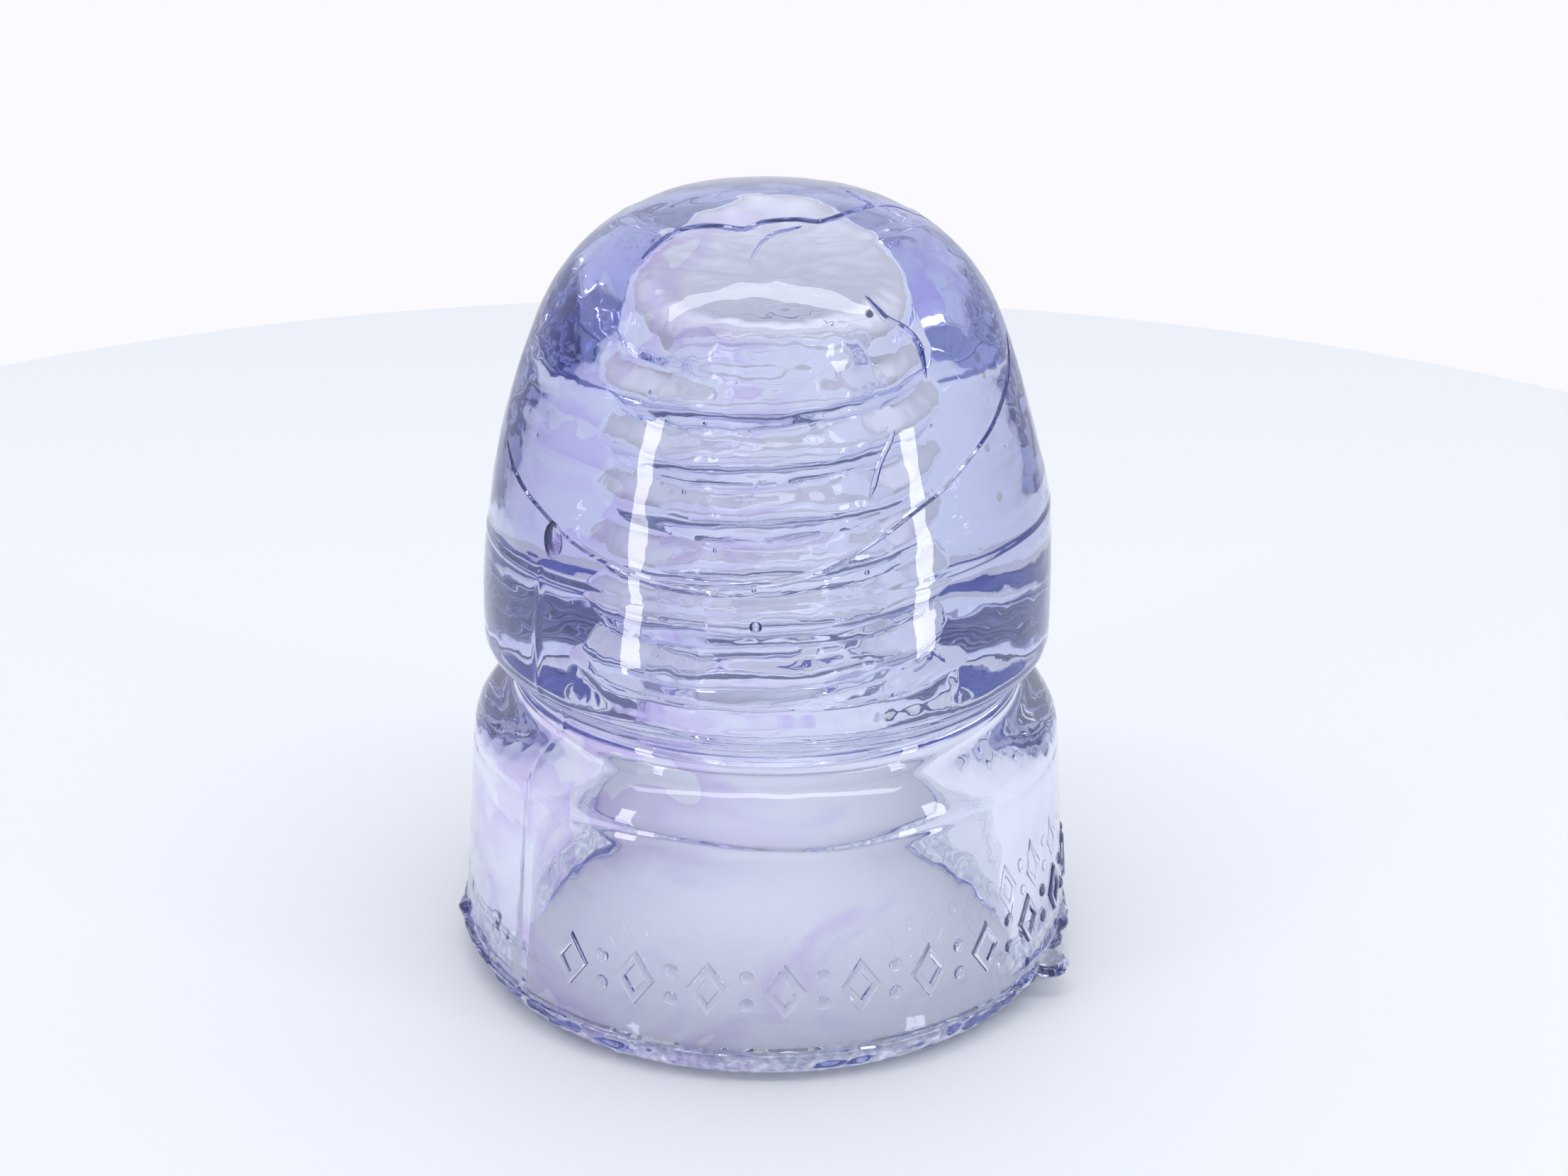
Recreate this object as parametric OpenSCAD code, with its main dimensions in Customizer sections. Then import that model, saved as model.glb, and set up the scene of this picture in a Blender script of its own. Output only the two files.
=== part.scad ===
// Pressed-glass pin insulator: a beehive crown over one plain skirt, with a wire
// groove between them and a tapered thread that screws down on a pole-top pin.
// The insulator is one piece of glass. It stands on its rim, +Z up, and the
// origin is at the centre of the rim. Millimetres.

/* [Overall] */
// Height from the rim to the top of the dome
body_h = 101.6; // [84:0.2:122]
// Diameter of the skirt at its parting line
skirt_d = 82.4; // [68:0.2:99]

/* [Crown] */
// Diameter of the crown at its widest
crown_d = 74; // [62:0.5:88]
// Height of the crown's lower edge
crown_z = 43; // [41:0.25:50]
// Straight band above the crown's lower edge
crown_band_h = 3; // [2.5:0.25:8]
// Radius of the rounding on the crown's lower edge
crown_edge_r = 4; // [2:0.25:4.5]
// Radius of the curve of the crown's flank
flank_r = 100; // [84:1:140]
// Radius of the shoulder between flank and dome
shoulder_r = 26; // [20:0.5:31]
// Radius of the dome's top
dome_r = 55; // [46:1:70]

/* [Wire groove] */
// Height of the point where the groove's two sides would meet
groove_z = 39.4; // [38:0.2:40.4]
// Depth of that point below the crown's side; the rounding leaves the groove shallower
groove_depth = 6; // [5:0.25:7.5]
// Radius at the bottom of the groove
groove_root_r = 2.4; // [1:0.1:2.8]

/* [Skirt] */
// Height of the lip at the top of the skirt
lip_z = 34.8; // [28:0.2:36]
// Radius of the rounding on the lip
lip_r = 7.5; // [4:0.25:8]
// Lean of the skirt's outer side, in degrees
skirt_lean = 4.9; // [2:0.1:8]
// Height of the parting line above the rim
parting_z = 4.5; // [4:0.1:8]
// Rounding of the rim's outer edge
rim_outer_r = 3; // [1:0.1:3.2]
// Rounding of the rim's inner edge
rim_inner_r = 2; // [0.5:0.1:3]
// How far the ring below the parting line steps in
base_step = 0.3; // [0.1:0.05:1]
// How far the flash on the parting line stands out
flash_out = 1.2; // [0.4:0.1:1.8]
// Thickness of the flash
flash_t = 0.5; // [0.3:0.1:1]

/* [Inside] */
// Thickness of the skirt's wall at the rim
skirt_wall = 7.7; // [6.5:0.1:10]
// Lean of the skirt's inner side, in degrees
cavity_lean = 8; // [5:0.5:10]
// Height of the ceiling under the skirt
ceiling_z = 36; // [29:0.5:37]
// Rounding between the ceiling and the skirt's inner side
ceiling_r = 5; // [3:0.5:6]

/* [Pinhole] */
// Diameter over the thread's roots at the closed end
thread_d = 28.5; // [23.5:0.25:34.5]
// Distance from one turn of the thread to the next
thread_pitch = 6.35; // [5.4:0.05:7.6]
// Depth of the thread
thread_depth = 1.6; // [1:0.1:1.9]
// Growth of the thread's diameter for each unit of its length
thread_taper = 0.0625; // [0.04:0.0025:0.08]
// Length of the smooth straight entry below the thread
entry_l = 5.5; // [4:0.5:9]
// Clearance between the entry and the thread's widest turn
entry_gap = 0.45; // [0.3:0.05:1]
// Rounding at the mouth of the entry
mouth_r = 1.5; // [0.5:0.25:2.5]
// Rounding at the closed end of the pinhole
end_r = 3; // [2:0.5:6]
// Thickness of the glass between the pinhole and the top of the dome
top_wall = 17.5; // [14:0.5:24]

/* [Mould marks] */
// Height of the line left where the mould's upper ring closes
mould_ring_z = 60; // [54:0.5:66]
// How far the mould's lines stand out
seam_out = 0.25; // [0.1:0.05:0.4]
// Width of the mould's lines
seam_w = 0.9; // [0.5:0.1:1.5]
// Direction of the first of the two upright seams, in degrees
seam_turn = -137.5; // [-180:0.5:180]

/* [Raised marks] */
// Height of the middle of the row of marks
mark_z = 12.5; // [11:0.25:20]
// Height of a lozenge
mark_h = 7.2; // [5:0.1:9]
// Width of a lozenge
mark_w = 5.2; // [3.5:0.1:7]
// Width of a lozenge's raised line
mark_line = 1.1; // [0.8:0.1:1.6]
// Diameter of a round pip
pip_d = 1.8; // [1.2:0.1:3]
// How far the marks stand out
mark_out = 0.5; // [0.3:0.05:0.9]
// Number of lozenges in the row
mark_count = 12; // [4:1:16]
// Direction of the row's first lozenge, in degrees
mark_from = -125; // [-180:1:0]
// Angle between neighbouring lozenges, in degrees
mark_step = 13; // [11:0.5:18]

/* [Hidden] */
$fn = 96;
corner_steps = 8;
arc_steps = 14;
thread_steps = 24;
groove_sides = 6;
sink = 1.2;
overlap = 0.2;

skirt_r = skirt_d / 2;
base_ring_r = skirt_r - base_step;
lip_x = skirt_r - (lip_z - parting_z) * tan(skirt_lean);
crown_r = crown_d / 2;
groove_x = crown_r - groove_depth;
crown_wide_z = crown_z + crown_band_h;

// The crown's outline is three circles, each touching the next: flank, shoulder, dome
dome_c = [0, body_h - dome_r];
flank_c = [crown_r - flank_r, crown_wide_z];
centres_gap = norm(flank_c - dome_c);
centres_dir = (flank_c - dome_c) / centres_gap;
to_dome = dome_r - shoulder_r;
to_flank = flank_r - shoulder_r;
shoulder_along = (to_dome ^ 2 - to_flank ^ 2 + centres_gap ^ 2) / (2 * centres_gap);
shoulder_across = sqrt(to_dome ^ 2 - shoulder_along ^ 2);
shoulder_c = dome_c + centres_dir * shoulder_along
    + [centres_dir.y, -centres_dir.x] * shoulder_across;
flank_end = angle_to(flank_c, shoulder_c);
shoulder_end = angle_to(dome_c, shoulder_c);
mould_ring_a = asin((mould_ring_z - crown_wide_z) / flank_r);
ridge_a = asin(seam_w / 2 / flank_r);

// The pinhole, from its closed end down to the ceiling
hole_z = body_h - top_wall;
entry_z = ceiling_z + entry_l;
crest_top_r = thread_d / 2 - thread_depth;
crest_low_r = crest_at(entry_z);
entry_r = crest_low_r + thread_depth + entry_gap;
cavity_r = skirt_r - skirt_wall;
cavity_top_r = cavity_r - ceiling_z * tan(cavity_lean);
groove_half_w = thread_pitch * 0.36;
thread_from = entry_z - thread_pitch / 4;
thread_to = hole_z - end_r - groove_half_w;
thread_turns = (thread_to - thread_from) / thread_pitch;
thread_rings = ceil(thread_turns * thread_steps);

// Radius of the thread's crests at height z
function crest_at(z) = crest_top_r + (hole_z - z) * thread_taper / 2;

// Direction in degrees from point a to point b
function angle_to(a, b) = atan2(b.y - a.y, b.x - a.x);

// Unit vector along v
function unit(v) = v / norm(v);

// Points along an arc about c
function arc(c, r, from, to, steps) =
    [for (i = [0:steps]) c + r * [cos(from + (to - from) * i / steps), sin(from + (to - from) * i / steps)]];

// The arc of radius r that replaces the corner b of the path a, b, c
function corner(a, b, c, r) =
    let (
        ua = unit(a - b),
        uc = unit(c - b),
        half = acos(ua * uc) / 2,
        centre = b + unit(ua + uc) * r / sin(half),
        from = angle_to(centre, b + ua * r / tan(half)),
        to = angle_to(centre, b + uc * r / tan(half)),
        turn = (to - from + 540) % 360 - 180
    ) arc(centre, r, from, from + turn, corner_steps);

// A path whose entries are [radius, height, corner radius], with its corners rounded
function rounded(path) =
    [for (i = [0:len(path) - 1])
        let (here = [path[i].x, path[i].y])
        each (path[i].z == 0 ? [here] : corner(
            [path[i - 1].x, path[i - 1].y], here, [path[i + 1].x, path[i + 1].y], path[i].z))];

// Outer side from height foot_z up to the crown's band, moved outwards by grow
function skirt_side(grow, foot_z) = rounded([
    [skirt_r + grow, foot_z, 0],
    [lip_x + grow, lip_z, lip_r],
    [groove_x + grow, groove_z, groove_root_r],
    [crown_r + grow, crown_z, crown_edge_r],
    [crown_r + grow, crown_wide_z, 0]
]);

// Flank from the crown's band round to angle end_a, moved outwards by grow
function low_flank(grow, end_a) =
    arc(flank_c, flank_r + grow, 0, end_a, arc_steps);

// Outer outline from the rim to the top of the dome
function outer_side() = concat(
    rounded([
        [cavity_r, 0, 0],
        [base_ring_r, 0, rim_outer_r],
        [base_ring_r, parting_z - flash_t, 0]
    ]),
    [[skirt_r + flash_out, parting_z - flash_t / 2], [skirt_r + flash_out, parting_z + flash_t / 2]],
    skirt_side(0, parting_z + flash_t),
    low_flank(0, mould_ring_a - ridge_a),
    [flank_c + (flank_r + seam_out) * [cos(mould_ring_a), sin(mould_ring_a)]],
    arc(flank_c, flank_r, mould_ring_a + ridge_a, flank_end, arc_steps),
    arc(shoulder_c, shoulder_r, flank_end, shoulder_end, arc_steps),
    arc(dome_c, dome_r, shoulder_end, 90, arc_steps)
);

// Inner outline from the closed end of the pinhole down to the rim
function inner_side() = rounded([
    [0, hole_z, 0],
    [crest_top_r, hole_z, end_r],
    [crest_low_r, entry_z, 0],
    [entry_r, entry_z, 0],
    [entry_r, ceiling_z, mouth_r],
    [cavity_top_r, ceiling_z, ceiling_r],
    [cavity_r, 0, rim_inner_r],
    [base_ring_r, 0, 0]
]);

// Drops the first n points of a path
function after(path, n) = [for (i = [n:len(path) - 1]) path[i]];

// Drops the last n points of a path
function before(path, n) = [for (i = [0:len(path) - 1 - n]) path[i]];

// Half section of the glass, turned about the axis
module turned_glass() {
    rotate_extrude()
        polygon(concat(after(outer_side(), 1), before(inner_side(), 1)));
}

// Bulge of the thread's groove at fraction t of its length: it fades out at the closed end
function groove_at(t) = (thread_depth + overlap) * min(1, (1 - t) * thread_turns);

// One ring of points round the groove, at fraction t of the thread's length
function groove_ring(t) =
    let (
        z = thread_from + (thread_to - thread_from) * t,
        turn = 360 * thread_turns * t,
        foot = crest_at(z) - sink
    )
    concat(
        [[foot * cos(turn), foot * sin(turn), z - groove_half_w]],
        [for (i = [0:groove_sides])
            let (a = -90 + 180 * i / groove_sides, r = crest_at(z) - overlap + groove_at(t) * cos(a))
            [r * cos(turn), r * sin(turn), z + groove_half_w * sin(a)]],
        [[foot * cos(turn), foot * sin(turn), z + groove_half_w]]
    );

// The space that the pin's thread turns in
module thread_groove() {
    n = groove_sides + 3;
    points = [for (i = [0:thread_rings]) each groove_ring(i / thread_rings)];
    sides = [for (i = [0:thread_rings - 1], j = [0:n - 1])
        let (a = i * n + j, b = i * n + (j + 1) % n)
        each [[a, b, b + n], [a, b + n, a + n]]];
    start = [for (j = [n - 1:-1:0]) j];
    end = [for (j = [0:n - 1]) thread_rings * n + j];
    polyhedron(points, concat([start, end], sides));
}

// Line of an upright seam from the flash to the mould's upper ring, moved outwards by grow
function seam_line(grow) =
    concat(skirt_side(grow, parting_z), low_flank(grow, mould_ring_a - ridge_a / 2));

// Two upright seams, where the halves of the mould met
module upright_seams() {
    back = seam_line(-sink);
    for (half = [0, 180])
        rotate([0, 0, seam_turn + half])
            rotate([90, 0, 0])
                linear_extrude(seam_w, center = true)
                    polygon(concat(seam_line(seam_out), [for (i = [len(back) - 1:-1:0]) back[i]]));
}

// Places its children on the skirt's outer side at height z, facing outwards
module on_skirt(turn, z) {
    rotate([0, 0, turn])
        translate([skirt_r - (z - parting_z) * tan(skirt_lean), 0, z])
            rotate([0, 90 - skirt_lean, 0])
                children();
}

// A lozenge drawn as a raised line
module lozenge() {
    inner = 1 - 2 * mark_line * norm([mark_h, mark_w]) / (mark_h * mark_w);
    outline = [[mark_h / 2, 0], [0, mark_w / 2], [-mark_h / 2, 0], [0, -mark_w / 2]];
    translate([0, 0, -sink])
        linear_extrude(sink + mark_out)
            difference() {
                polygon(outline);
                polygon(outline * inner);
            }
}

// A round pip
module pip() {
    translate([0, 0, -sink])
        cylinder(h = sink + mark_out, d = pip_d);
}

// The row of raised marks: lozenges with a pair of pips between neighbours
module raised_marks() {
    for (i = [0:mark_count - 1])
        on_skirt(mark_from + i * mark_step, mark_z)
            lozenge();
    for (i = [0:mark_count - 2], side = [-1, 1])
        on_skirt(mark_from + (i + 0.5) * mark_step, mark_z + side * mark_h / 4)
            pip();
}

// The insulator
module glass_body() {
    color([0.80, 0.83, 0.93, 0.55]) {
        difference() {
            turned_glass();
            thread_groove();
        }
        upright_seams();
        raised_marks();
    }
}

glass_body();
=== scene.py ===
"""A pressed-glass pin insulator: visual model, studio and camera, in metres."""

import math
import random

import bpy
from mathutils import Matrix, Vector, noise


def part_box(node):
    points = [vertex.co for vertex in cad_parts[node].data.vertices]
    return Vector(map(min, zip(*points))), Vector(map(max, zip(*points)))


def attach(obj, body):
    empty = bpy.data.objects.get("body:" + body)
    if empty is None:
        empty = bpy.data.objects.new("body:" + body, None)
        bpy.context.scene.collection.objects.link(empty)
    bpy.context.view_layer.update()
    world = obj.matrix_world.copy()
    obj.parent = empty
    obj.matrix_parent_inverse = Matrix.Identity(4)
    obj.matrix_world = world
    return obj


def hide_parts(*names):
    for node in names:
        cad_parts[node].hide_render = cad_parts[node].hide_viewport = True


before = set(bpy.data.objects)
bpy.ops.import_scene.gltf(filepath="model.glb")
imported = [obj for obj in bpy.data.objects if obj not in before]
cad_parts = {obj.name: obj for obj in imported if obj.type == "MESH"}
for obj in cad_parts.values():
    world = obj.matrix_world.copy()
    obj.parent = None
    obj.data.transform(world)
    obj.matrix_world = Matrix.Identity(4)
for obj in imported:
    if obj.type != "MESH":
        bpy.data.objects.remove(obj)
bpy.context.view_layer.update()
MM = 0.001
LOW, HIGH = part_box("glass_body")

# Sizes of the glass, in millimetres. The height and the flash's reach are the CAD body's own, and
# each corner's radius stands beside the corner, in outer_outline and inner_outline. GROOVE_R is
# where the groove's two sides would meet, under its rounding, and above DOME_Z the crown is a dome.
BODY_H = HIGH.z / MM
FLASH_R = (HIGH.y - LOW.y) / 2 / MM
SKIRT_R = 41.2
SKIRT_LEAN = math.radians(4.9)
BASE_STEP = 0.3
PARTING_Z = 4.5
RIM_TOP_Z = 6.0
FLASH_T = 0.5
CROWN_R = 37.0
CROWN_Z = 43.0
CROWN_WIDE_Z = 46.0
GROOVE_R = 31.0
GROOVE_Z = 39.4
LIP_Z = 34.8
LIP_LINE_Z = 30.4
FLANK_R = 100.0
SHOULDER_R = 26.0
DOME_R = 55.0
DOME_Z = 88.0
MOULD_RING_Z = 60.0
LINE_OUT = 0.13
CAVITY_R = 33.5
CAVITY_LEAN = math.radians(8)
CEILING_Z = 36.0
ENTRY_Z = CEILING_Z + 5.5
HOLE_Z = BODY_H - 17.5
END_R = 3.0
THREAD_PITCH = 6.35
THREAD_DEPTH = 1.6
CREST_TOP_R = 12.65
THREAD_TAPER = 0.0625
ENTRY_CLEARANCE = 0.45
THREAD_FADE = 5.0
THREAD_REACH_R = 15.9
SEAMS = (math.radians(-137.5), math.radians(42.5))

# Raised marks, placed as in the CAD: a row of lozenges with pairs of pips between them
MARK_Z = 12.5
MARK_H, MARK_W, MARK_LINE, MARK_OUT = 7.2, 5.2, 1.1, 0.5
PIP_R = 0.9
MARK_COUNT, MARK_FROM, MARK_STEP = 12, math.radians(-125), math.radians(13)

# How finely the glass is made: columns round it, and the longest step along each part of its outline
SEGMENTS = 270
OUTER_STEP = 1.15
LINE_STEP = 0.4
THREAD_STEP = 0.55
PLAIN_STEP = 2.0

# Teeth along the flash's ragged edge: azimuth and half width in degrees, and extra reach
FLASH_TEETH = [(-79, 3.0, 0.8), (-62, 2.0, 0.35), (54, 3, 0.6), (69, 2.5, 0.6), (80, 3, 0.6)]

SMALL_BUBBLES = 22

# A drip on the seam and three lumps on the rim: azimuth, radius, height and half sizes
LUMPS = [
    (-48, 37.6, 32.2, (0.7, 1.9, 1.2)), (62, 42.2, 4.0, (3.0, 1.3, 2.6)),
    (75, 41.0, 5.0, (2.2, 0.9, 1.3)), (-78, 41.0, 5.2, (1.4, 0.8, 1.3))]


# ---------------------------------------------------------------- outline

def arc(centre, radius, start, end, steps):
    """Points along an arc; angles in radians."""
    points = []
    for i in range(steps + 1):
        a = start + (end - start) * i / steps
        points.append(centre + radius * Vector((math.cos(a), math.sin(a))))
    return points


def angle_to(a, b):
    return math.atan2(b.y - a.y, b.x - a.x)


def turn_between(start, end):
    """The shorter turn from start to end."""
    return (end - start + 3 * math.pi) % (2 * math.pi) - math.pi


def rounded(path, steps=6):
    """A path of (radius, height, corner radius) with its corners rounded."""
    points = []
    for i, (x, z, r) in enumerate(path):
        here = Vector((x, z))
        if not r:
            points.append(here)
            continue
        to_last = (Vector(path[i - 1][:2]) - here).normalized()
        to_next = (Vector(path[i + 1][:2]) - here).normalized()
        half = to_last.angle(to_next) / 2
        centre = here + (to_last + to_next).normalized() * r / math.sin(half)
        start = angle_to(centre, here + to_last * r / math.tan(half))
        end = angle_to(centre, here + to_next * r / math.tan(half))
        points += arc(centre, r, start, start + turn_between(start, end), steps)
    return points


def crown_curve():
    """The crown's side from its widest place to the top: three circles that touch."""
    dome = Vector((0, BODY_H - DOME_R))
    flank = Vector((CROWN_R - FLANK_R, CROWN_WIDE_Z))
    gap = (flank - dome).length
    along_dir = (flank - dome) / gap
    to_dome, to_flank = DOME_R - SHOULDER_R, FLANK_R - SHOULDER_R
    along = (to_dome ** 2 - to_flank ** 2 + gap ** 2) / (2 * gap)
    across = math.sqrt(to_dome ** 2 - along ** 2)
    shoulder = dome + along_dir * along + Vector((along_dir.y, -along_dir.x)) * across
    flank_end, dome_start = angle_to(flank, shoulder), angle_to(dome, shoulder)
    return arc(flank, FLANK_R, 0, flank_end, 16) \
        + arc(shoulder, SHOULDER_R, flank_end, dome_start, 16)[1:] \
        + arc(dome, DOME_R, dome_start, math.pi / 2, 16)[1:]


CROWN_CURVE = crown_curve()


def skirt_at(z):
    """Radius of the skirt's outer side at height z."""
    return SKIRT_R - (z - PARTING_Z) * math.tan(SKIRT_LEAN)


def outer_outline():
    """The outer side from the rim's inner edge to the top of the dome."""
    ring_r = SKIRT_R - BASE_STEP
    base = rounded([(CAVITY_R, 0, 0), (ring_r, 0, 3), (ring_r, PARTING_Z - FLASH_T, 0)])[1:]
    flash = [Vector((FLASH_R, PARTING_Z - FLASH_T / 2)), Vector((FLASH_R, PARTING_Z + FLASH_T / 2))]
    side = rounded([
        (SKIRT_R, PARTING_Z + FLASH_T, 0), (skirt_at(LIP_Z), LIP_Z, 7.5), (GROOVE_R, GROOVE_Z, 2.4),
        (CROWN_R, CROWN_Z, 4), (CROWN_R, CROWN_WIDE_Z, 0)])
    return base + flash + side + CROWN_CURVE[1:]


def crest_at(z):
    """Radius of the thread's crests at height z."""
    return CREST_TOP_R + (HOLE_Z - z) * THREAD_TAPER / 2


def inner_outline():
    """The inner side from the pinhole's closed end to the rim, in two parts: pinhole and cavity."""
    low_crest = crest_at(ENTRY_Z)
    entry_r = low_crest + THREAD_DEPTH + ENTRY_CLEARANCE
    top_r = CAVITY_R - CEILING_Z * math.tan(CAVITY_LEAN)
    hole = rounded([(0, HOLE_Z, 0), (CREST_TOP_R, HOLE_Z, END_R), (low_crest, ENTRY_Z, 0)])
    cavity = rounded([
        (low_crest, ENTRY_Z, 0), (entry_r, ENTRY_Z, 0.8), (entry_r, CEILING_Z, 1.5),
        (top_r, CEILING_Z, 5), (CAVITY_R, 0, 2), (SKIRT_R - BASE_STEP, 0, 0)])[1:-1]
    return hole, cavity


def resampled(points, step, lines=()):
    """The same path with points no further apart than step, and closer beside the given heights."""
    path = [points[0]]
    for a, b in zip(points, points[1:]):
        done = 0.0
        length = (b - a).length
        while length - done > 1e-6:
            z = a.lerp(b, done / length).y
            near = any(abs(z - line) < 1.8 for line in lines)
            rest = length - done
            here = LINE_STEP if near else step
            done += rest / max(1, math.ceil(rest / here))
            path.append(a.lerp(b, min(1, done / length)))
    return path


# ---------------------------------------------------------------- mesh tools

def deselect():
    if bpy.context.object and bpy.context.object.mode != "OBJECT":
        bpy.ops.object.mode_set(mode="OBJECT")
    bpy.ops.object.select_all(action="DESELECT")


def activate(piece):
    deselect()
    piece.select_set(True)
    bpy.context.view_layer.objects.active = piece


def chain(name, points):
    """An open chain of edges through (radius, height) points in the XZ plane, in millimetres."""
    deselect()
    bpy.ops.mesh.primitive_circle_add(vertices=len(points), radius=MM, fill_type="NOTHING")
    piece = bpy.context.object
    piece.name = name
    for vertex, point in zip(piece.data.vertices, points):
        vertex.co = (point.x * MM, 0, point.y * MM)
    bpy.ops.object.mode_set(mode="EDIT")
    bpy.ops.mesh.select_mode(type="EDGE")
    bpy.ops.mesh.select_all(action="DESELECT")
    bpy.ops.object.mode_set(mode="OBJECT")
    last = len(points) - 1
    for edge in piece.data.edges:
        edge.select = set(edge.vertices) == {0, last}
    bpy.ops.object.mode_set(mode="EDIT")
    bpy.ops.mesh.delete(type="EDGE")
    bpy.ops.object.mode_set(mode="OBJECT")
    return piece


def turned(name, points, segments):
    """A closed shape made by turning a chain, which starts and ends on the Z axis, once round it."""
    piece = chain(name, points)
    activate(piece)
    bpy.ops.object.mode_set(mode="EDIT")
    bpy.ops.mesh.select_mode(type="VERT")
    bpy.ops.mesh.select_all(action="SELECT")
    bpy.ops.mesh.spin(steps=segments, angle=2 * math.pi, center=(0, 0, 0), axis=(0, 0, 1))
    bpy.ops.mesh.select_all(action="SELECT")
    bpy.ops.mesh.remove_doubles(threshold=1e-6)
    bpy.ops.mesh.normals_make_consistent(inside=False)
    bpy.ops.object.mode_set(mode="OBJECT")
    return piece


def combine(body, tools, operation):
    """Adds closed shapes to the body, or cuts them away; the shapes don't overlap each other."""
    activate(tools[0])
    for tool in tools:
        tool.select_set(True)
    bpy.ops.object.join()
    tool = bpy.context.object
    activate(body)
    bpy.ops.object.modifier_add(type="BOOLEAN")
    boolean = body.modifiers[-1]
    boolean.operation = operation
    boolean.object = tool
    boolean.solver = "MANIFOLD"
    bpy.ops.object.modifier_apply(modifier=boolean.name)
    bpy.data.objects.remove(tool)


def ball(name, place):
    """A sphere whose vertices are moved by place(), which gets each one as a unit vector."""
    deselect()
    bpy.ops.mesh.primitive_uv_sphere_add(segments=16, ring_count=10, radius=1)
    piece = bpy.context.object
    piece.name = name
    for vertex in piece.data.vertices:
        vertex.co = place(vertex.co.normalized()) * MM
    piece.data.update()
    return piece


def smooth_path(points, parts):
    """A curve through every point, with parts steps between neighbours."""
    ends = [2 * points[0] - points[1]] + points + [2 * points[-1] - points[-2]]
    path = []
    for a, b, c, d in zip(ends, ends[1:], ends[2:], ends[3:]):
        for i in range(parts):
            t = i / parts
            path.append(0.5 * (2 * b + (c - a) * t + (2 * a - 5 * b + 4 * c - d) * t ** 2
                               + (3 * b - a - 3 * c + d) * t ** 3))
    return path + [points[-1]]


def tube(name, path, normals, radius):
    """A round bar along a path, pointed at both ends."""
    deselect()
    last = len(path) - 1
    bpy.ops.mesh.primitive_uv_sphere_add(segments=8, ring_count=last, radius=1)
    piece = bpy.context.object
    piece.name = name
    for vertex in piece.data.vertices:
        spot = vertex.co.normalized()
        i = round(math.acos(max(-1, min(1, spot.z))) / math.pi * last)
        along = (path[min(i + 1, last)] - path[max(i - 1, 0)]).normalized()
        side = along.cross(normals[i]).normalized()
        thick = 0 if i in (0, last) else radius * min(1, 0.35 + 0.65 * min(i, last - i) / 5)
        a = math.atan2(spot.y, spot.x)
        vertex.co = (path[i] + (side * math.cos(a) + normals[i] * math.sin(a)) * thick) * MM
    activate(piece)
    bpy.ops.object.mode_set(mode="EDIT")
    bpy.ops.mesh.select_all(action="SELECT")
    bpy.ops.mesh.normals_make_consistent(inside=False)
    bpy.ops.object.mode_set(mode="OBJECT")
    return piece


# ---------------------------------------------------------------- places on the glass

def turned_place(azimuth, radius, z):
    """A place in millimetres; azimuth 0 faces the camera and 90 is to its right."""
    a = math.radians(azimuth)
    return Vector((radius * math.sin(a), -radius * math.cos(a), z))


def crown_radius(z):
    """The crown's radius at height z."""
    for a, b in zip(CROWN_CURVE, CROWN_CURVE[1:]):
        if a.y <= z <= b.y:
            return a.x + (b.x - a.x) * (z - a.y) / (b.y - a.y)
    return CROWN_R


def crown_height(radius):
    """The crown's height at this radius."""
    for a, b in zip(CROWN_CURVE, CROWN_CURVE[1:]):
        if b.x <= radius <= a.x:
            return a.y + (b.y - a.y) * (a.x - radius) / (a.x - b.x)
    return BODY_H


def on_flank(azimuth, z):
    return turned_place(azimuth, crown_radius(z), z)


def on_dome(x, y):
    return Vector((x, y, crown_height(math.hypot(x, y))))


def round_dome(azimuth, radius):
    return turned_place(azimuth, radius, crown_height(radius))


def outward(place):
    """Direction out of the glass near a place on its outer side."""
    return Vector((place.x, place.y, max(0, place.z - (BODY_H - DOME_R)))).normalized()


def crease(name, places, radius, lift, parts=6):
    """A bar along the crown's surface, its middle lifted above it by lift."""
    path = smooth_path(places, parts)
    normals = [outward(p) for p in path]
    fixed = []
    for p, n in zip(path, normals):
        flat = math.hypot(p.x, p.y)
        if p.z > DOME_Z:
            p = Vector((p.x, p.y, crown_height(flat)))
        else:
            p = Vector((p.x, p.y, 0)) / flat * crown_radius(p.z) + Vector((0, 0, p.z))
        fixed.append(p + n * lift)
    return tube(name, fixed, normals, radius)


# ---------------------------------------------------------------- glass

def is_inner(r, z):
    """Whether a point lies on the pinhole or under the skirt."""
    in_pinhole = r < 17 and z < HOLE_Z + 1
    under_skirt = z < CEILING_Z + 1 and r < CAVITY_R - z * math.tan(CAVITY_LEAN) + 2.2
    return in_pinhole or under_skirt


def gathered(turn):
    """The turn moved so that more of the mesh's columns lie close to the two seams."""
    for seam in SEAMS:
        gap = turn_between(seam, turn)
        turn -= 0.75 * gap * math.exp(-(gap / 0.12) ** 2)
    return turn


def ring_rise(turn):
    """How far the mould's upper ring lies above its middle height."""
    return 1 + math.sin(turn) + 1.8 * math.cos(turn)


def flash_reach(turn):
    """How far the ragged flash stands out at this place."""
    around = Vector((math.cos(turn), math.sin(turn), 0))
    coarse = noise.noise(around * 3.1 + Vector((3, 0, 0)))
    fine = noise.noise(around * 14 + Vector((9, 0, 0)))
    sharp = noise.noise(around * 38)
    reach = 0.34 + 0.5 * coarse + 0.42 * fine + 0.3 * sharp
    for azimuth, width, extra in FLASH_TEETH:
        gap = math.degrees(turn_between(math.radians(azimuth - 90), turn))
        reach += extra * math.exp(-(gap / width) ** 2)
    return max(0.06, min(FLASH_R - SKIRT_R - 0.02, reach))


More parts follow.
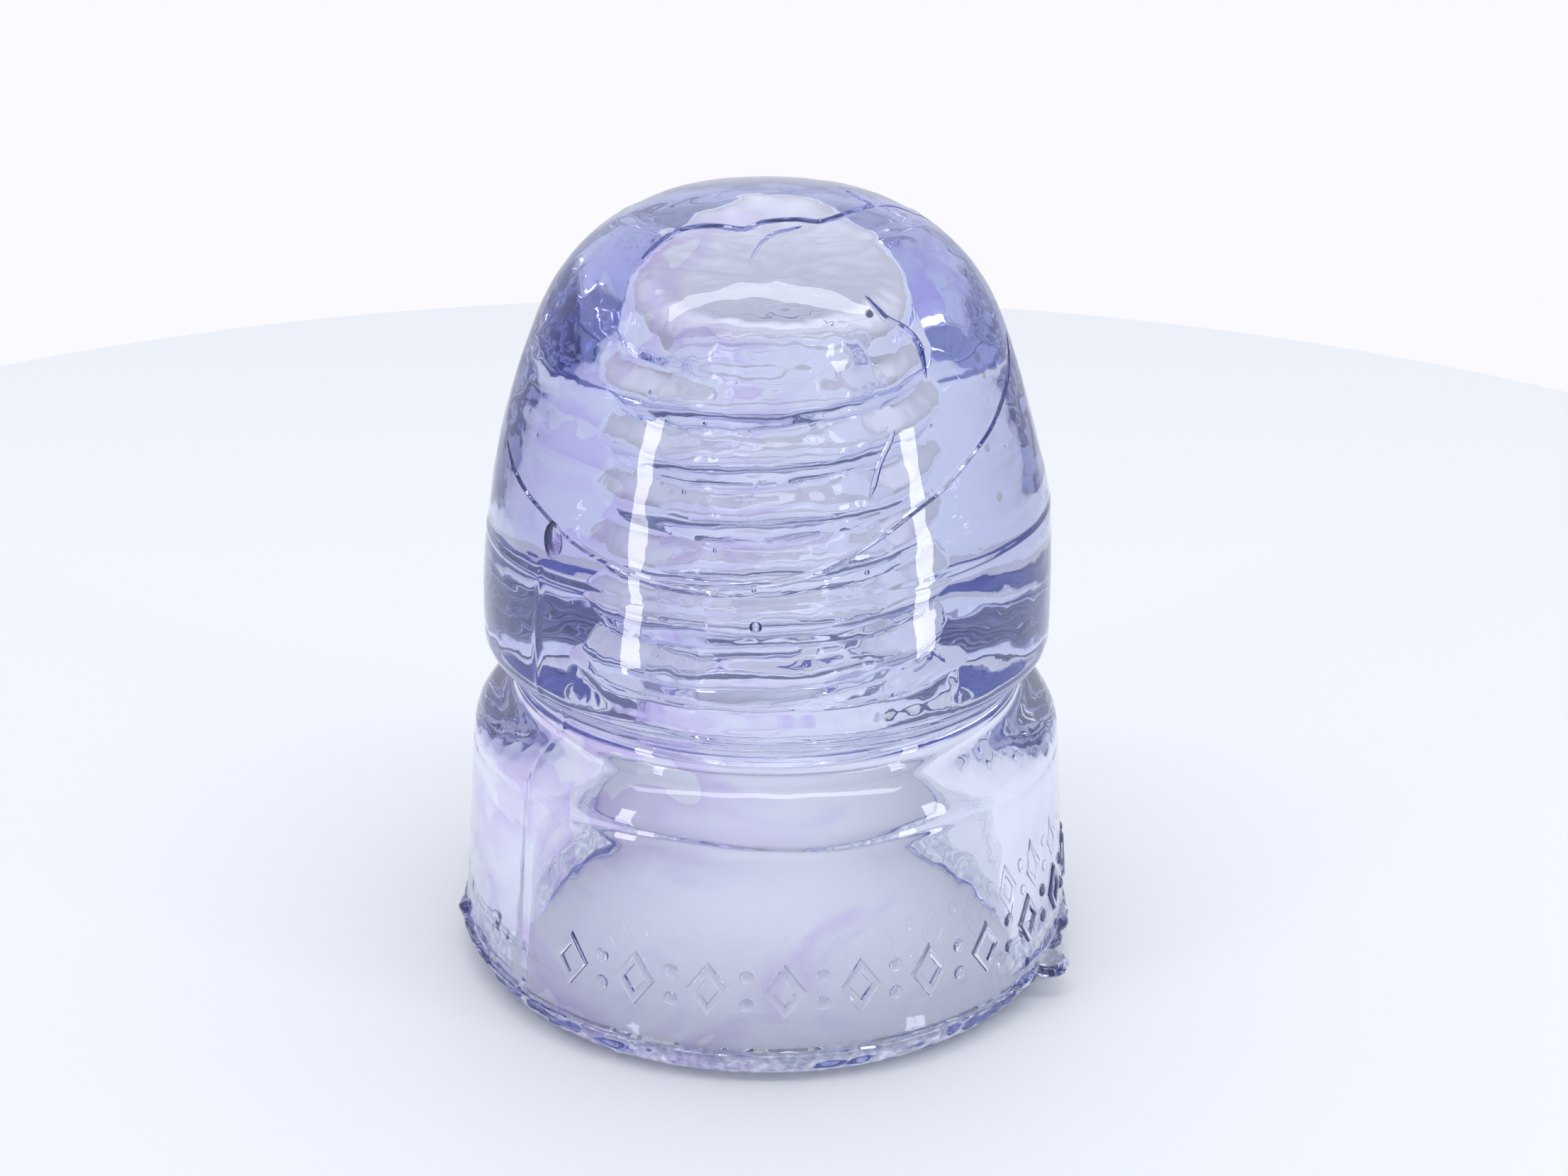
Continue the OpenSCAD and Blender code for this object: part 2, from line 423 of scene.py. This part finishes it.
def thread_relief(r, z, turn):
    """How far the thread's groove lies outside its crest at this place."""
    if z > HOLE_Z - END_R or z < ENTRY_Z - 0.2 or r > THREAD_REACH_R:
        return 0
    fade = min(1, (HOLE_Z - END_R - z) / THREAD_FADE)
    phase = (z - ENTRY_Z + THREAD_PITCH / 4) / THREAD_PITCH - turn / (2 * math.pi)
    wave = 0.5 + 0.5 * math.cos(2 * math.pi * phase)
    return THREAD_DEPTH * fade * wave ** 0.8


def outer_relief(r, z, turn):
    """How far the mould's lines stand out at this place."""
    out = 0
    if PARTING_Z + 0.2 < z < MOULD_RING_Z + 0.5:
        for seam in SEAMS:
            gap = turn_between(seam, turn) * r
            out += LINE_OUT * math.exp(-(gap / 0.45) ** 2)
    out += LINE_OUT * math.exp(-((z - MOULD_RING_Z) / 0.5) ** 2)
    if CROWN_Z < z < MOULD_RING_Z:
        out += 0.07 * math.exp(-(MOULD_RING_Z - z) / 6)
    out -= LINE_OUT * math.exp(-((z - LIP_LINE_Z) / 0.5) ** 2)
    return out


def shape_mesh(piece):
    """Cuts the thread and raises the flash, the seams and the ring lines."""
    for vertex in piece.data.vertices:
        x, y, z = vertex.co / MM
        r = math.hypot(x, y)
        if r < 1e-3:
            continue
        turn = gathered(math.atan2(y, x))
        if is_inner(r, z):
            r += thread_relief(r, z, turn) * (1 + 0.35 * noise.noise(Vector((x, y, z)) * 0.16))
        elif r > SKIRT_R + 0.5:
            r = SKIRT_R + flash_reach(turn)
            z += 0.3 * noise.noise(Vector((x, y, 0)) * 0.09)
        else:
            r += outer_relief(r, z, turn)
            z += ring_rise(turn) * math.exp(-((z - MOULD_RING_Z) / 6) ** 2)
            z += 0.7 * noise.noise(Vector((x, y, 5)) * 0.05) * math.exp(-((z - LIP_LINE_Z) / 3) ** 2)
        vertex.co = Vector((r * math.cos(turn), r * math.sin(turn), z)) * MM
    piece.data.update()


def ripple(piece):
    """Gives every surface the ripple of pressed glass."""
    for vertex in piece.data.vertices:
        place = vertex.co / MM
        r = math.hypot(place.x, place.y)
        if is_inner(r, place.z):
            if place.z < RIM_TOP_Z:
                continue
            out = Vector((place.x, place.y, max(0, place.z - (HOLE_Z - 12)))).normalized()
            rough = 0.25 if place.z < CEILING_Z + 1 else 1
            waves = Vector((place.x * 0.1, place.y * 0.1, place.z * 0.22 + 7))
            size = 0.28 * rough * noise.noise(waves)
            if rough == 1:
                size += 0.11 * noise.noise(place * 0.45) + 0.06 * noise.noise(place)
        elif place.z > RIM_TOP_Z and r < SKIRT_R + 0.2:
            out = outward(place)
            size = 0.10 * noise.noise(Vector((place.x * 0.06, place.y * 0.06, place.z * 0.10)))
            size += 0.045 * noise.noise(place * 0.3) - (0.17 if place.z > BODY_H - 4 else 0)
            size += 0.03 * noise.noise(Vector((place.x * 0.22, place.y * 0.22, place.z * 0.7 + 30)))
        elif 0.8 < place.z < PARTING_Z - 0.4:
            out = outward(place)
            size = 0.3 * noise.noise(place * 0.5) + 0.22 * noise.noise(place * 1.1) - 0.1
        else:
            continue
        vertex.co += out * size * MM
    piece.data.update()


def on_skirt(turn, across, z, out):
    """A place on the skirt, across millimetres round from turn, standing out by out."""
    a = turn + across / skirt_at(z)
    r = skirt_at(z) + out
    return Vector((r * math.cos(a), r * math.sin(a), z))


def lozenge(turn):
    """A lozenge drawn as a rounded raised line: a ring with four corners, each moved to its place."""
    deselect()
    ring_r = 10
    bpy.ops.mesh.primitive_torus_add(
        major_segments=4, minor_segments=10, major_radius=ring_r, minor_radius=1)
    piece = bpy.context.object
    diagonal = math.hypot(MARK_H, MARK_W)
    for vertex in piece.data.vertices:
        x, y, z = vertex.co
        swing = math.hypot(x, y) - ring_r
        upright = abs(x) > abs(y)
        mitre = MARK_LINE / 2 * diagonal / (MARK_W if upright else MARK_H)
        reach = (MARK_H if upright else MARK_W) / 2 - mitre + mitre * swing
        up = math.copysign(reach, x) if upright else 0
        across = 0 if upright else math.copysign(reach, y)
        vertex.co = on_skirt(turn, across, MARK_Z + up, z * MARK_OUT) * MM
    return piece


def pip(turn, z):
    """A low round dot."""
    return ball("pip", lambda u: on_skirt(turn, u.x * PIP_R, z + u.y * PIP_R, u.z * MARK_OUT))


def fixed_normals(pieces):
    """The same pieces with their faces turned outwards."""
    for piece in pieces:
        activate(piece)
        bpy.ops.object.mode_set(mode="EDIT")
        bpy.ops.mesh.select_all(action="SELECT")
        bpy.ops.mesh.normals_make_consistent(inside=False)
        bpy.ops.object.mode_set(mode="OBJECT")
    return pieces


def raised_marks():
    """A row of lozenges round the skirt, with a pair of pips in each gap."""
    marks = []
    for i in range(MARK_COUNT):
        marks.append(lozenge(MARK_FROM + i * MARK_STEP))
        if i:
            turn = MARK_FROM + (i - 0.5) * MARK_STEP
            marks += [pip(turn, MARK_Z - MARK_H / 4), pip(turn, MARK_Z + MARK_H / 4)]
    return fixed_normals(marks)


def lump(azimuth, radius, z, size):
    """A closed ellipsoid; size is its half width, half height and half depth."""
    wide, tall, deep = size
    a = math.radians(azimuth)
    side, out = Vector((math.cos(a), math.sin(a), 0)), Vector((math.sin(a), -math.cos(a), 0))
    middle = turned_place(azimuth, radius, z)
    up = Vector((0, 0, 1))
    return ball("lump", lambda u: middle + side * u.x * wide + up * u.y * tall + out * u.z * deep)


def bubbles():
    """Air bubbles shut in the glass: two large ones, and small ones round its front."""
    found = [lump(-46, crown_radius(63) - 1.6, 63, (1.65, 2.35, 1.0)),
             lump(-1.6, crown_radius(57) - 1.4, 57, (0.75, 0.75, 0.7))]
    for i in range(SMALL_BUBBLES):
        azimuth = -110 + 10 * i + random.uniform(-3, 3)
        z = random.uniform(50, 86)
        size = random.uniform(0.12, 0.3)
        deep = random.uniform(2, 5)
        found.append(lump(azimuth, crown_radius(z) - deep, z, (size, size * 1.2, size)))
    return fixed_normals(found)


def creases():
    """Folds left where the glass cooled before the mould closed, in groups that don't cross."""
    dome_long = [on_dome(*p) for p in (
        (-14.8, -16.5), (-13, -15.3), (-10, -14), (-6.5, -14.7), (-3, -16), (-0.5, -14.8), (3, -14),
        (6, -13.7), (9, -10.6), (12, -6), (10.5, -4.2), (8, 1))]
    dome_short = [round_dome(a, r) for a, r in ((-6, 21), (0, 17.4), (9, 16.2), (14, 15.7))]
    fork = [round_dome(a, r) for a, r in ((66, 14), (80, 15.1), (91, 18.3), (97, 22))]
    dark_fold = [on_flank(a, z) for a, z in (
        (26.3, 92.3), (30, 90), (35, 88.5), (37.4, 86.6), (37.3, 83))]
    crack = [on_flank(a, z) for a, z in (
        (27, 78.3), (25.5, 77), (23, 75), (21.5, 73), (20.2, 71.2))]
    loop = [on_flank(a, z) for a, z in (
        (-71, 71.7), (-60, 68.7), (-48, 66.3), (-39, 64.2), (-30, 62.8), (-22, 61.9), (-13, 61.6),
        (-7, 61.8), (1, 62.4), (9, 63.5), (15, 65), (22, 67), (29, 69.1), (37, 71.2), (45, 73.7),
        (54, 76.1), (64, 79), (74, 81.9), (82, 84.1))]
    return [
        [crease("dome_long", dome_long, 0.52, -0.10)],
        [crease("dome_short", dome_short, 0.34, -0.06), crease("fork", fork, 0.3, 0.0)],
        [crease("dark_fold", dark_fold, 0.5, -0.12), crease("crack", crack, 0.36, -0.08)],
        [crease("loop", loop, 0.46, 0.04, 8)],
    ]


def make_glass():
    """The whole insulator as one closed mesh."""
    outer = resampled(outer_outline(), OUTER_STEP, (MOULD_RING_Z, LIP_LINE_Z))
    hole, cavity = inner_outline()
    points = resampled(hole, THREAD_STEP) + resampled(cavity, PLAIN_STEP) + outer
    piece = turned("insulator_glass", points, SEGMENTS)
    shape_mesh(piece)
    combine(piece, raised_marks(), "UNION")
    combine(piece, fixed_normals([lump(*values) for values in LUMPS]), "UNION")
    for group in creases():
        combine(piece, group, "DIFFERENCE")
    combine(piece, bubbles(), "DIFFERENCE")
    ripple(piece)
    return piece


# ---------------------------------------------------------------- materials

def new_material(name):
    material = bpy.data.materials.new(name)
    material.use_nodes = True
    return material, material.node_tree.nodes, material.node_tree.links


def added(nodes, links, kind, values=(), **settings):
    """A new node with its settings made and its inputs set or linked; returns its first output."""
    node = nodes.new(kind)
    for key, value in settings.items():
        setattr(node, key, value)
    for key, value in dict(values).items():
        if isinstance(value, bpy.types.NodeSocket):
            links.new(value, node.inputs[key])
        else:
            node.inputs[key].default_value = value
    return node.outputs[0]


def blend(nodes, links, factor, first, second):
    """Mixes two colours by a factor."""
    mix = nodes.new("ShaderNodeMix")
    mix.data_type = "RGBA"
    for socket, value in zip((mix.inputs[0], mix.inputs[6], mix.inputs[7]), (factor, first, second)):
        if isinstance(value, bpy.types.NodeSocket):
            links.new(value, socket)
        else:
            socket.default_value = value
    return mix.outputs[2]


def ramp(nodes, links, value, start, end):
    """0 below start and 1 above end, or the other way round when end is lower."""
    node = nodes.new("ShaderNodeMapRange")
    node.interpolation_type = "SMOOTHSTEP"
    links.new(value, node.inputs["Value"])
    node.inputs["From Min"].default_value = start
    node.inputs["From Max"].default_value = end
    return node.outputs[0]


def calculated(nodes, links, operation, *values):
    """A number worked out from numbers."""
    return added(nodes, links, "ShaderNodeMath", dict(enumerate(values)), operation=operation)


def measured(nodes, links, operation, *vectors):
    """A number worked out from vectors."""
    result = added(nodes, links, "ShaderNodeVectorMath", dict(enumerate(vectors)), operation=operation)
    return result.node.outputs["Value"]


# Colours along a swirl: pale glass, violet growing to a sharp edge, then nearly clear
SWIRL_STOPS = [
    (0.57, (0.96, 0.965, 1.0, 1)), (0.70, (0.76, 0.62, 0.94, 1)), (0.70, (0.984, 0.995, 1.0, 1)),
    (1.0, (1, 1, 1, 1))]
# Added to the clouds for each metre to the right, so that the left of the glass has more violet
SWIRL_LEAN = -5.0
# Painted shade: grey-blue darkening of the crown's left and right flanks, standing in for the dark
# surroundings seen through them
FLANK_SHADE = (0.70, 0.70, 0.80, 1)
# Dark blue grain on the rim: real pitting, darkened as painted shade for the shadowed table seen through
# the rim
PITS_AND_SHADE = (0.24, 0.28, 0.44, 1)
GLASS_TINT, GLASS_DENSITY = (0.32, 0.41, 0.79, 1), 10.5

# Specks on the crown: azimuth, height, radius and colour
FLECKS = [
    (26, 90.4, 0.5, (0.03, 0.03, 0.06, 1)), (56, 83.8, 0.7, (0.50, 0.48, 0.42, 1)),
    (56.6, 81.8, 0.5, (0.45, 0.42, 0.36, 1)), (53.7, 82.6, 0.4, (0.50, 0.48, 0.42, 1)),
    (52.5, 68.1, 0.6, (0.52, 0.50, 0.42, 1)), (51.2, 74, 0.5, (0.45, 0.44, 0.38, 1)),
    (-64.7, 77.2, 0.4, (0.55, 0.5, 0.5, 1))]


def swirl_colour(nodes, links, place, x):
    """Clouds of violet, more of them on the left of the glass than on its right."""
    swirled = added(nodes, links, "ShaderNodeMapping", {"Vector": place, "Scale": (1, 1, 1.6)})
    cloud = added(nodes, links, "ShaderNodeTexNoise", {
        "Vector": swirled, "Scale": 34, "Detail": 3, "Roughness": 0.5, "Distortion": 1.2})
    tint = nodes.new("ShaderNodeValToRGB")
    stops = tint.color_ramp.elements
    while len(stops) < len(SWIRL_STOPS):
        stops.new(0.5)
    for stop, (spot, colour) in zip(stops, SWIRL_STOPS):
        stop.position, stop.color = spot, colour
    links.new(calculated(nodes, links, "MULTIPLY_ADD", x, SWIRL_LEAN, cloud), tint.inputs["Fac"])
    return tint.outputs["Color"]


def flank_shade_mask(nodes, links, x, height):
    """1 at the crown's left and right sides, above the groove: where shade is painted on the glass."""
    aside = calculated(nodes, links, "ABSOLUTE", x)
    return calculated(
        nodes, links, "MULTIPLY",
        ramp(nodes, links, aside, 0.017, 0.034), ramp(nodes, links, height, 0.040, 0.054))


def pit_and_shade_mask(nodes, links, place, x, y, height):
    """Grain on the outside of the rim, below the parting line: real pitting, painted dark as the shade of
    the table under the rim.
    """
    grain = added(nodes, links, "ShaderNodeTexNoise", {"Vector": place, "Scale": 900, "Detail": 3})
    level = added(nodes, links, "ShaderNodeCombineXYZ", {"X": x, "Y": y})
    from_axis = measured(nodes, links, "LENGTH", level)
    outside = calculated(
        nodes, links, "MULTIPLY",
        ramp(nodes, links, from_axis, 0.0372, 0.0392), ramp(nodes, links, height, 0.0058, 0.0040))
    return calculated(nodes, links, "MULTIPLY", ramp(nodes, links, grain, 0.22, 0.66), outside)


def glass_material():
    """Lavender glass with swirls, painted shade on the crown's flanks, a pitted rim darkened with painted
    shade, specks and fine ripples.
    """
    material, nodes, links = new_material("lavender_glass")
    shader = nodes["Principled BSDF"]
    shader.inputs["Transmission Weight"].default_value = 1
    shader.inputs["IOR"].default_value = 1.52
    shader.inputs["Roughness"].default_value = 0.02
    place = nodes.new("ShaderNodeTexCoord").outputs["Object"]
    x, y, height = added(nodes, links, "ShaderNodeSeparateXYZ", {"Vector": place}).node.outputs
    colour = swirl_colour(nodes, links, place, x)
    # Painted shade on the crown's left and right flanks
    colour = blend(nodes, links, flank_shade_mask(nodes, links, x, height), colour, FLANK_SHADE)
    # Pitted rim: real grain, painted dark as shade of the table seen through the rim
    colour = blend(nodes, links, pit_and_shade_mask(nodes, links, place, x, y, height), colour, PITS_AND_SHADE)
    for azimuth, z, size, shade in FLECKS:
        away = measured(nodes, links, "DISTANCE", place, on_flank(azimuth, z) * MM)
        inside = calculated(nodes, links, "LESS_THAN", away, size * MM)
        colour = blend(nodes, links, inside, colour, shade)
    links.new(colour, shader.inputs["Base Color"])
    fine = added(nodes, links, "ShaderNodeTexNoise", {
        "Vector": place, "Scale": 200, "Detail": 2, "Roughness": 0.5})
    bump = added(nodes, links, "ShaderNodeBump", {"Height": fine, "Strength": 0.08, "Distance": 0.0005})
    links.new(bump, shader.inputs["Normal"])
    absorb = added(nodes, links, "ShaderNodeVolumeAbsorption", {
        "Color": GLASS_TINT, "Density": GLASS_DENSITY})
    links.new(absorb, nodes["Material Output"].inputs["Volume"])
    return material


def plain_material(name, colour, roughness):
    material, nodes, links = new_material(name)
    shader = nodes["Principled BSDF"]
    shader.inputs["Base Color"].default_value = (*colour, 1)
    shader.inputs["Roughness"].default_value = roughness
    return material


# ---------------------------------------------------------------- studio

# The turntable's radius, thickness and middle, which is behind the glass and a little to its left
TABLE_R, TABLE_T = 0.286, 0.02
TABLE_X, TABLE_Y = -0.0043, 0.119


def make_turntable():
    """The pale round surface that the glass stands on."""
    deselect()
    bpy.ops.mesh.primitive_cylinder_add(
        vertices=256, radius=TABLE_R, depth=TABLE_T, location=(TABLE_X, TABLE_Y, -TABLE_T / 2))
    table = bpy.context.object
    table.name = "turntable"
    table.data.materials.append(plain_material("turntable_white", (0.84, 0.865, 0.92), 0.6))


def area_light(name, place, target, size_x, size_y, watts):
    """A rectangular lamp that faces target."""
    light = bpy.data.lights.new(name, "AREA")
    light.shape = "RECTANGLE"
    light.size, light.size_y = size_x, size_y
    light.energy = watts
    holder = bpy.data.objects.new(name, light)
    bpy.context.scene.collection.objects.link(holder)
    holder.location = place
    holder.rotation_euler = (Vector(target) - Vector(place)).to_track_quat("-Z", "Y").to_euler()
    return holder


def around(azimuth, elevation, distance):
    """A place seen from the glass; azimuth 0 is towards the camera and 90 is to its right."""
    a, e = math.radians(azimuth), math.radians(elevation)
    return (distance * math.sin(a) * math.cos(e), -distance * math.cos(a) * math.cos(e),
            distance * math.sin(e))


def soft_patch_group():
    """A soft round patch of light on the studio's walls, as a node group."""
    group = bpy.data.node_groups.new("soft_patch", "ShaderNodeTree")
    for name, kind in (("Direction", "NodeSocketVector"), ("Centre", "NodeSocketVector"),
                       ("Sharpness", "NodeSocketFloat"), ("Strength", "NodeSocketFloat"),
                       ("Below", "NodeSocketFloat")):
        group.interface.new_socket(name, in_out="INPUT", socket_type=kind)
    group.interface.new_socket("Level", in_out="OUTPUT", socket_type="NodeSocketFloat")
    nodes, links = group.nodes, group.links
    given = nodes.new("NodeGroupInput").outputs
    direction, centre, sharpness, strength, below = given[0], given[1], given[2], given[3], given[4]
    facing = measured(nodes, links, "DOT_PRODUCT", direction, centre)
    away = calculated(nodes, links, "SUBTRACT", facing, 1.0)
    steep = calculated(nodes, links, "MULTIPLY", away, sharpness)
    fall = calculated(nodes, links, "EXPONENT", steep)
    level = calculated(nodes, links, "MULTIPLY_ADD", fall, strength, below)
    links.new(level, nodes.new("NodeGroupOutput").inputs[0])
    return group


# The studio's walls: azimuth, elevation, sharpness and strength of each soft patch, over an even level
WALL_LEVEL = 0.67
WALL_PATCHES = [
    (0, 90, 9, 0.36), (180, 50, 5, 0.4), (108, 24, 7, 0.4), (-120, 22, 9, 0.2),
    (0, 36, 7, -0.22), (-104, 0, 16, -0.18), (104, -2, 16, -0.26), (0, -60, 3, 0.45)]
DARKEST_WALL = 0.12
WALL_COLOUR = (0.955, 0.97, 1.0)
BACKDROP = (0.965, 0.956, 1.0, 1)


def light_walls():
    """The studio's walls as a world: soft patches on an even level, and a plain backdrop."""
    world = bpy.data.worlds.new("studio_world")
    bpy.context.scene.world = world
    world.use_nodes = True
    nodes, links = world.node_tree.nodes, world.node_tree.links
    background = nodes["Background"]
    direction = nodes.new("ShaderNodeTexCoord").outputs["Generated"]
    group = soft_patch_group()
    level = WALL_LEVEL
    for azimuth, elevation, sharpness, strength in WALL_PATCHES:
        patch = nodes.new("ShaderNodeGroup")
        patch.node_tree = group
        links.new(direction, patch.inputs["Direction"])
        patch.inputs["Centre"].default_value = around(azimuth, elevation, 1)
        patch.inputs["Sharpness"].default_value = sharpness
        patch.inputs["Strength"].default_value = strength
        if isinstance(level, float):
            patch.inputs["Below"].default_value = level
        else:
            links.new(level, patch.inputs["Below"])
        level = patch.outputs[0]
    level = calculated(nodes, links, "MAXIMUM", level, DARKEST_WALL)
    walls = added(nodes, links, "ShaderNodeVectorMath", {0: WALL_COLOUR, "Scale": level}, operation="SCALE")
    seen = nodes.new("ShaderNodeLightPath").outputs["Is Camera Ray"]
    links.new(blend(nodes, links, seen, walls, BACKDROP), background.inputs["Color"])


def light_glass():
    """Two upright strips at the sides, a bank above, and a small fill light under the skirt."""
    middle = (0, 0, 0.05)
    area_light("strip_left", around(-51, 2, 1.0), middle, 0.11, 0.72, 2.2)
    area_light("strip_right", around(62.5, 2, 1.0), middle, 0.12, 0.66, 2.2)
    area_light("top_bank", (0, -0.3, 1.0), middle, 1.5, 0.15, 3.5)
    fill = area_light("skirt_fill", (0, 0.008, 0.032), (0, 0.008, 0), 0.036, 0.036, 0.0045)
    fill.data.shape = "DISK"
    fill.visible_camera = fill.visible_transmission = fill.visible_glossy = False


# The camera's place, and how far it looks down and leans
CAMERA_PLACE = (0.00216, -0.236, 0.1376)
CAMERA_DOWN, CAMERA_LEAN = math.radians(20.7), math.radians(0.65)


def make_camera():
    data = bpy.data.cameras.new("camera")
    data.sensor_width = 36
    data.lens = 43.98
    camera = bpy.data.objects.new("camera", data)
    bpy.context.scene.collection.objects.link(camera)
    camera.matrix_world = Matrix.Translation(CAMERA_PLACE) \
        @ Matrix.Rotation(math.pi / 2 - CAMERA_DOWN, 4, "X") @ Matrix.Rotation(CAMERA_LEAN, 4, "Z")
    bpy.context.scene.camera = camera


# ---------------------------------------------------------------- the scene

random.seed(4)
make_camera()
bpy.context.scene.view_settings.view_transform = "Standard"
cycles = bpy.context.scene.cycles
cycles.max_bounces, cycles.glossy_bounces, cycles.transmission_bounces = 28, 24, 24
glass = make_glass()
glass.data.materials.clear()
glass.data.materials.append(glass_material())
activate(glass)
bpy.ops.object.shade_smooth_by_angle(angle=math.radians(35))
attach(glass, "root")
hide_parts("glass_body")
make_turntable()
light_walls()
light_glass()
